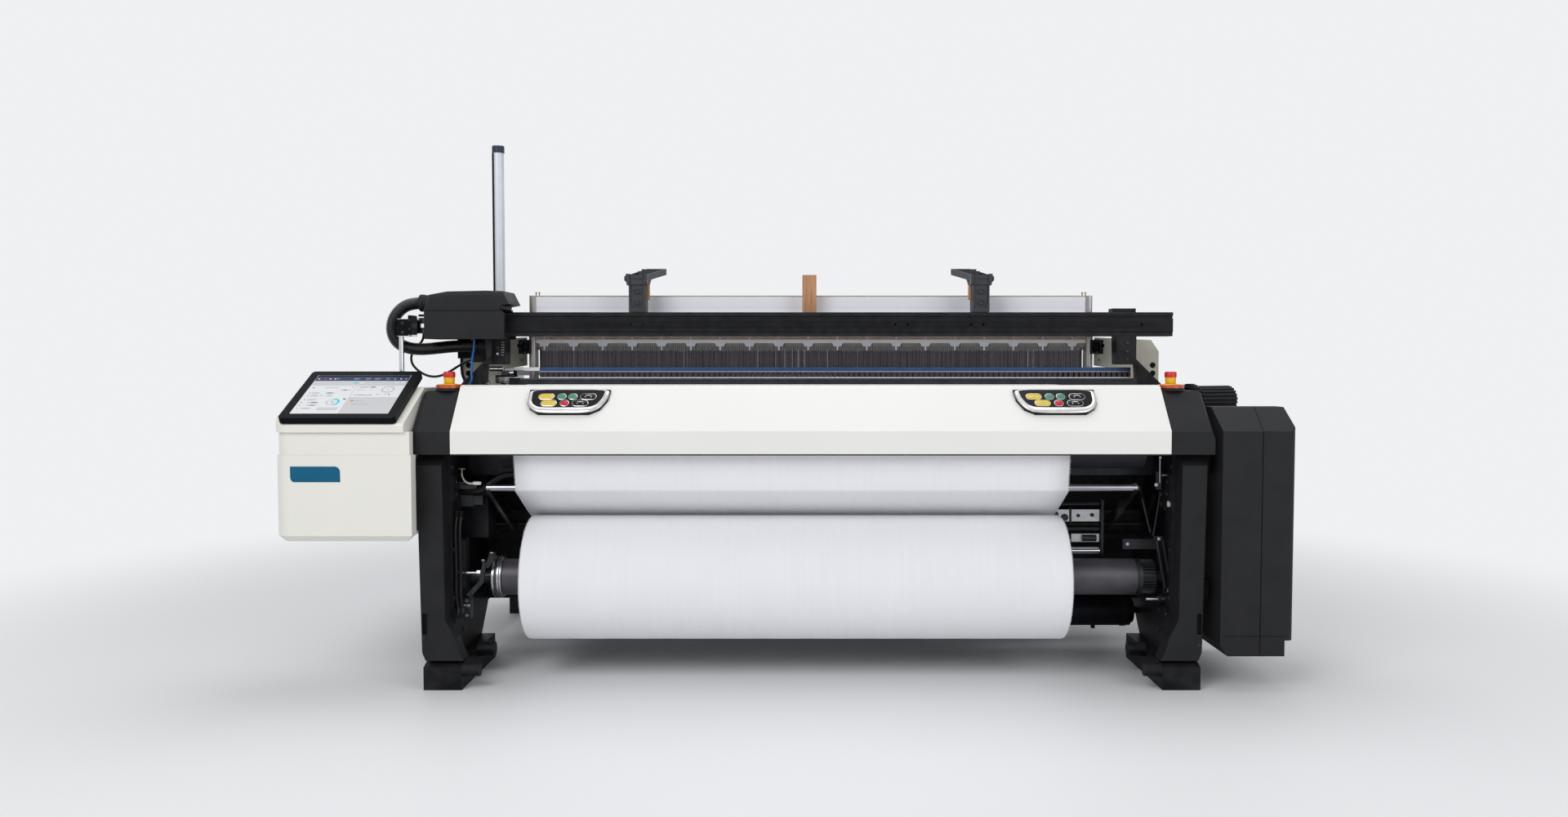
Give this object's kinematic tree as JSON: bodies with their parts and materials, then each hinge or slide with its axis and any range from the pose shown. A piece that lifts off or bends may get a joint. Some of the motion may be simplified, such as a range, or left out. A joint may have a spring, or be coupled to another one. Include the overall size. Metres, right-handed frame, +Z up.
{
  "type": "power loom",
  "caption": "Air-jet power loom with white front cover, cloth roll, heald frames, reed, upper beam, tilted display box and drive housing.",
  "frame": {"origin": "on the floor, under the middle of the whole machine", "axes": "+X towards the drive housing, +Y from the weaver's side to the warp beam, +Z up"},
  "size_m": [3.435, 1.7598, 1.943],
  "materials": {
    "frame_paint": "black textured paint on castings",
    "cover_white": "white satin cover lacquer",
    "cover_black": "black matte cover",
    "box_white": "warm white powder coat",
    "steel": "bright turned steel",
    "chrome": "polished chrome",
    "dark_steel": "dark machined cast iron",
    "roller_rubber": "dark grip covering",
    "aluminium": "anodised aluminium",
    "cloth": "plain white woven cloth",
    "yarn": "white warp yarn",
    "wood": "plain light wood",
    "screen": "glossy display glass",
    "display_black": "black display rim",
    "reed_blue": "blue reed rail over steel dents",
    "beige": "beige paint",
    "hose": "black corrugated plastic",
    "cable": "black cable sheath",
    "air_blue": "blue air tube",
    "stop_red": "red push button",
    "stop_ring": "orange red collar",
    "keypad": "black key sheet with a bright rim"
  },
  "bodies": {
    "loom": {"air_tank": "frame_paint", "air_tube": "air_blue", "beam_brackets": "frame_paint", "beam_stands": "frame_paint", "breast_beam": "dark_steel", "centre_guide": "wood", "cloth_guide_frame": "chrome", "cloth_sheet": "cloth", "control_box": "box_white", "control_box_lid": "box_white", "corrugated_hose": "hose", "display_housing": "display_black", "display_screen": "screen", "drive_motor": "frame_paint", "drop_wire_unit": "steel", "feeder_cable": "cable", "feeder_cover": "cover_black", "front_cover": "cover_white", "front_feet": "frame_paint", "harness_cross_beam": "frame_paint", "harness_guides": "cover_black", "hose_clamp": "chrome", "left_end_cover": "cover_black", "left_key_panel": "keypad", "left_leg_cover": "cover_black", "left_side_frame": "frame_paint", "lift_units": "frame_paint", "lower_cross_beam": "frame_paint", "rear_cross_beam": "frame_paint", "rear_feet": "frame_paint", "right_end_cover": "cover_black", "right_housing": "cover_black", "right_key_panel": "keypad", "right_leg_cover": "cover_black", "right_side_frame": "frame_paint", "side_plates": "beige", "signal_post": "aluminium", "stop_button_bases": "stop_ring", "temple_bar": "dark_steel", "upper_beam": "frame_paint", "warp_sheet": "yarn", "whip_roll_brackets": "frame_paint"},
    "cloth_winding": {"cloth_beam": "dark_steel", "cloth_beam_gear": "dark_steel", "cloth_roll": "cloth"},
    "winding_pinion": {"cloth_beam_pinion": "dark_steel"},
    "take_up": {"take_up_roller": "roller_rubber"},
    "deflector": {"deflector_roller": "steel"},
    "warp_supply": {"warp_beam": "aluminium", "warp_yarn": "yarn"},
    "back_rest": {"whip_roll": "steel"},
    "sley_unit": {"sley": "aluminium", "reed": "reed_blue"},
    "harness_1": {"heald_frame_1": "aluminium"},
    "harness_2": {"heald_frame_2": "aluminium"},
    "harness_3": {"heald_frame_3": "aluminium"},
    "harness_4": {"heald_frame_4": "aluminium"},
    "left_stop": {"left_stop_button": "stop_red"},
    "right_stop": {"right_stop_button": "stop_red"},
    "turning_wheel": {"handwheel": "cover_black"}
  },
  "joints": [
    {"name": "cloth_roll_turn", "type": "hinge", "parent": "loom", "child": "cloth_winding", "pos_m": [0, -0.58, 0.355], "axis": [1, 0, 0], "continuous": true},
    {"name": "pinion_turn", "type": "hinge", "parent": "loom", "child": "winding_pinion", "pos_m": [0, -0.488, 0.355], "axis": [1, 0, 0], "continuous": true},
    {"name": "take_up_turn", "type": "hinge", "parent": "loom", "child": "take_up", "pos_m": [0, -0.56, 0.817], "axis": [1, 0, 0], "continuous": true},
    {"name": "deflector_turn", "type": "hinge", "parent": "loom", "child": "deflector", "pos_m": [0, -0.745, 0.842], "axis": [1, 0, 0], "continuous": true},
    {"name": "warp_beam_turn", "type": "hinge", "parent": "loom", "child": "warp_supply", "pos_m": [0, 0.48, 0.48], "axis": [1, 0, 0], "continuous": true},
    {"name": "back_rest_turn", "type": "hinge", "parent": "loom", "child": "back_rest", "pos_m": [0, 0.64, 0.97], "axis": [1, 0, 0], "continuous": true},
    {"name": "sley_rock", "type": "hinge", "parent": "loom", "child": "sley_unit", "pos_m": [0, -0.4, 0.8], "axis": [1, 0, 0], "range_deg": [0, 11]},
    {"name": "heald_1_lift", "type": "slide", "parent": "loom", "child": "harness_1", "axis": [0, 0, 1], "range_m": [0, 0.07]},
    {"name": "heald_2_lift", "type": "slide", "parent": "loom", "child": "harness_2", "axis": [0, 0, 1], "range_m": [-0.07, 0]},
    {"name": "heald_3_lift", "type": "slide", "parent": "loom", "child": "harness_3", "axis": [0, 0, 1], "range_m": [0, 0.07]},
    {"name": "heald_4_lift", "type": "slide", "parent": "loom", "child": "harness_4", "axis": [0, 0, 1], "range_m": [-0.07, 0]},
    {"name": "left_stop_press", "type": "slide", "parent": "loom", "child": "left_stop", "axis": [0, 0, -1], "range_m": [0, 0.005], "stiffness_N_per_m": 1500},
    {"name": "right_stop_press", "type": "slide", "parent": "loom", "child": "right_stop", "axis": [0, 0, -1], "range_m": [0, 0.005], "stiffness_N_per_m": 1500},
    {"name": "handwheel_turn", "type": "hinge", "parent": "loom", "child": "turning_wheel", "pos_m": [1.4825, -0.45, 0.982], "axis": [0.9397, 0.342, 0], "continuous": true}
  ],
  "couplings": [
    {"joint": "pinion_turn", "follows": "cloth_roll_turn", "ratio": -1.7059},
    {"joint": "take_up_turn", "follows": "cloth_roll_turn", "ratio": 2.92},
    {"joint": "deflector_turn", "follows": "cloth_roll_turn", "ratio": -8.76},
    {"joint": "back_rest_turn", "follows": "warp_beam_turn", "ratio": 4.7143},
    {"joint": "heald_2_lift", "follows": "heald_1_lift", "ratio": -1},
    {"joint": "heald_3_lift", "follows": "heald_1_lift", "ratio": 1},
    {"joint": "heald_4_lift", "follows": "heald_1_lift", "ratio": -1}
  ]
}
